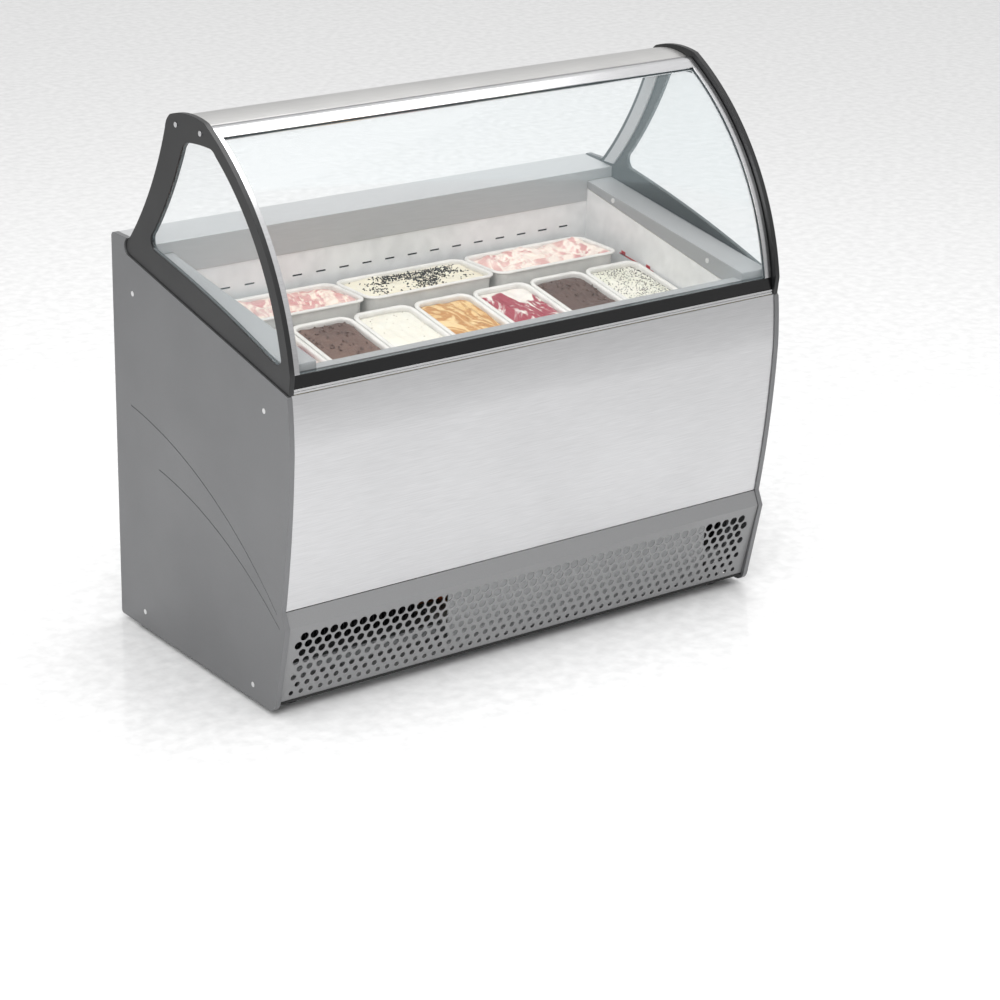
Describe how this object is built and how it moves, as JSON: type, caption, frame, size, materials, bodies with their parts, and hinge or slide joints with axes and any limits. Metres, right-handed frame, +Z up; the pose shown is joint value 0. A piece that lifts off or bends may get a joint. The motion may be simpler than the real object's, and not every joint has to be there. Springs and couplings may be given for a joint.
{
  "type": "ice cream dipping cabinet",
  "caption": "Chilled dipping cabinet on castors: a tank of lift-out ice cream pans under a curved tip-up front glass, with a perforated plinth and a refrigeration unit below.",
  "frame": {"origin": "on the floor under the middle of the cabinet's bounding box", "axes": "+Z up, the customer's side faces -Y, +X along the cabinet to the customer's right"},
  "size_m": [1.345, 0.73, 1.262],
  "materials": {
    "panel_grey": "satin powder coat",
    "front_silver": "fine brushed",
    "plinth_grey": "satin powder coat",
    "bracket_charcoal": "satin",
    "strip_black": "gloss",
    "trim_aluminium": "satin anodised",
    "steel_polished": "polished",
    "clear_glass": "clear",
    "canopy_grey": "satin",
    "lamp_diffuser": "frosted",
    "sill_light": "satin",
    "ledge_light": "satin",
    "liner_white": "gloss",
    "foam": "rigid foam",
    "copper": "drawn tube",
    "rack_steel": "satin",
    "drain_plastic": "moulded",
    "plug_rubber": "matt",
    "frame_galvanised": "galvanised",
    "castor_zinc": "zinc plated",
    "castor_tyre": "matt",
    "tray_galvanised": "galvanised",
    "compressor_black": "gloss enamel",
    "condenser_fins": "dull",
    "shroud_black": "satin",
    "fan_plastic": "moulded",
    "box_grey": "moulded",
    "control_black": "moulded",
    "button_grey": "gloss",
    "rocker_green": "translucent",
    "inlet_black": "moulded",
    "cap_plastic": "moulded",
    "screw_zinc": "zinc plated",
    "cover_grey": "moulded",
    "pan_white": "gloss"
  },
  "bodies": {
    "cabinet": {"side_panel_left": "panel_grey", "side_panel_right": "panel_grey", "front_panel": "front_silver", "plinth_grille": "plinth_grey", "front_trim": "trim_aluminium", "glass_seat_strip": "strip_black", "front_sill": "sill_light", "side_sills": "sill_light", "rear_ledge": "ledge_light", "inner_liner": "liner_white", "insulation_slabs": "foam", "evaporator_coil": "copper", "pan_rack": "rack_steel", "drain_pipe": "drain_plastic", "base_frame": "frame_galvanised", "rear_panel": "frame_galvanised", "frame_bracket_left": "bracket_charcoal", "frame_bracket_right": "bracket_charcoal", "cable_covers": "cover_grey", "side_glasses": "clear_glass", "canopy": "canopy_grey", "canopy_lamp": "lamp_diffuser", "hinge_rod": "steel_polished", "bracket_screws": "screw_zinc", "screw_caps": "cap_plastic", "condensing_unit_tray": "tray_galvanised", "compressor": "compressor_black", "condenser_coil": "condenser_fins", "fan_shroud": "shroud_black", "refrigerant_pipes": "copper", "filter_drier": "copper", "electrical_box": "box_grey", "controller": "control_black", "power_inlet": "inlet_black", "castor_mounts": "castor_zinc"},
    "fan": {"fan_blade": "fan_plastic"},
    "main_switch": {"main_switch": "rocker_green"},
    "set_button": {"set_button": "button_grey"},
    "up_button": {"up_button": "button_grey"},
    "down_button": {"down_button": "button_grey"},
    "drain_plug": {"drain_plug": "plug_rubber"},
    "front_glass": {"front_glass": "clear_glass", "glass_edge_trims": "steel_polished", "glass_clamp": "steel_polished"},
    "castor_fork_rear_left": {"castor_fork_rear_left": "castor_zinc"},
    "castor_fork_rear_right": {"castor_fork_rear_right": "castor_zinc"},
    "castor_wheel_front_left": {"castor_wheel_front_left": "castor_tyre"},
    "castor_wheel_front_right": {"castor_wheel_front_right": "castor_tyre"},
    "castor_wheel_rear_left": {"castor_wheel_rear_left": "castor_tyre"},
    "castor_wheel_rear_right": {"castor_wheel_rear_right": "castor_tyre"},
    "pan_front_1": {"pan_front_1": "pan_white"},
    "pan_front_2": {"pan_front_2": "pan_white"},
    "pan_front_3": {"pan_front_3": "pan_white"},
    "pan_front_4": {"pan_front_4": "pan_white"},
    "pan_front_5": {"pan_front_5": "pan_white"},
    "pan_front_6": {"pan_front_6": "pan_white"},
    "pan_front_7": {"pan_front_7": "pan_white"},
    "pan_rear_1": {"pan_rear_1": "pan_white"},
    "pan_rear_2": {"pan_rear_2": "pan_white"},
    "pan_rear_3": {"pan_rear_3": "pan_white"}
  },
  "joints": [
    {"name": "glass_hinge", "type": "hinge", "parent": "cabinet", "child": "front_glass", "pos_m": [0, -0.0218, 1.232], "axis": [-1, 0, 0], "range_deg": [0, 60]},
    {"name": "fan_spin", "type": "hinge", "parent": "cabinet", "child": "fan", "pos_m": [-0.425, -0.155, 0.239], "axis": [0, 1, 0], "continuous": true},
    {"name": "switch_rock", "type": "hinge", "parent": "cabinet", "child": "main_switch", "pos_m": [0.538, 0.3571, 0.8], "axis": [1, 0, 0], "range_deg": [-8, 8]},
    {"name": "set_press", "type": "slide", "parent": "cabinet", "child": "set_button", "axis": [0, -1, 0], "range_m": [0, 0.0015], "stiffness_N_per_m": 400, "springref_m": -0.001},
    {"name": "up_press", "type": "slide", "parent": "cabinet", "child": "up_button", "axis": [0, -1, 0], "range_m": [0, 0.0015], "stiffness_N_per_m": 400, "springref_m": -0.001},
    {"name": "down_press", "type": "slide", "parent": "cabinet", "child": "down_button", "axis": [0, -1, 0], "range_m": [0, 0.0015], "stiffness_N_per_m": 400, "springref_m": -0.001},
    {"name": "plug_lift", "type": "slide", "parent": "cabinet", "child": "drain_plug", "axis": [0, 0, 1], "range_m": [0, 0.06]},
    {"name": "castor_swivel_rear_left", "type": "hinge", "parent": "cabinet", "child": "castor_fork_rear_left", "pos_m": [-0.6, 0.29, 0.06], "axis": [0, 0, 1], "continuous": true},
    {"name": "castor_roll_rear_left", "type": "hinge", "parent": "castor_fork_rear_left", "child": "castor_wheel_rear_left", "pos_m": [-0.6, 0.308, 0.025], "axis": [1, 0, 0], "continuous": true},
    {"name": "castor_roll_front_left", "type": "hinge", "parent": "cabinet", "child": "castor_wheel_front_left", "pos_m": [-0.6, -0.245, 0.025], "axis": [1, 0, 0], "continuous": true},
    {"name": "castor_swivel_rear_right", "type": "hinge", "parent": "cabinet", "child": "castor_fork_rear_right", "pos_m": [0.6, 0.29, 0.06], "axis": [0, 0, 1], "continuous": true},
    {"name": "castor_roll_rear_right", "type": "hinge", "parent": "castor_fork_rear_right", "child": "castor_wheel_rear_right", "pos_m": [0.6, 0.308, 0.025], "axis": [1, 0, 0], "continuous": true},
    {"name": "castor_roll_front_right", "type": "hinge", "parent": "cabinet", "child": "castor_wheel_front_right", "pos_m": [0.6, -0.245, 0.025], "axis": [1, 0, 0], "continuous": true},
    {"name": "pan_front_1_lift", "type": "slide", "parent": "cabinet", "child": "pan_front_1", "axis": [0, 0, 1], "range_m": [0, 0.15]},
    {"name": "pan_front_2_lift", "type": "slide", "parent": "cabinet", "child": "pan_front_2", "axis": [0, 0, 1], "range_m": [0, 0.15]},
    {"name": "pan_front_3_lift", "type": "slide", "parent": "cabinet", "child": "pan_front_3", "axis": [0, 0, 1], "range_m": [0, 0.15]},
    {"name": "pan_front_4_lift", "type": "slide", "parent": "cabinet", "child": "pan_front_4", "axis": [0, 0, 1], "range_m": [0, 0.15]},
    {"name": "pan_front_5_lift", "type": "slide", "parent": "cabinet", "child": "pan_front_5", "axis": [0, 0, 1], "range_m": [0, 0.15]},
    {"name": "pan_front_6_lift", "type": "slide", "parent": "cabinet", "child": "pan_front_6", "axis": [0, 0, 1], "range_m": [0, 0.15]},
    {"name": "pan_front_7_lift", "type": "slide", "parent": "cabinet", "child": "pan_front_7", "axis": [0, 0, 1], "range_m": [0, 0.15]},
    {"name": "pan_rear_1_lift", "type": "slide", "parent": "cabinet", "child": "pan_rear_1", "axis": [0, 0, 1], "range_m": [0, 0.15]},
    {"name": "pan_rear_2_lift", "type": "slide", "parent": "cabinet", "child": "pan_rear_2", "axis": [0, 0, 1], "range_m": [0, 0.15]},
    {"name": "pan_rear_3_lift", "type": "slide", "parent": "cabinet", "child": "pan_rear_3", "axis": [0, 0, 1], "range_m": [0, 0.15]}
  ]
}
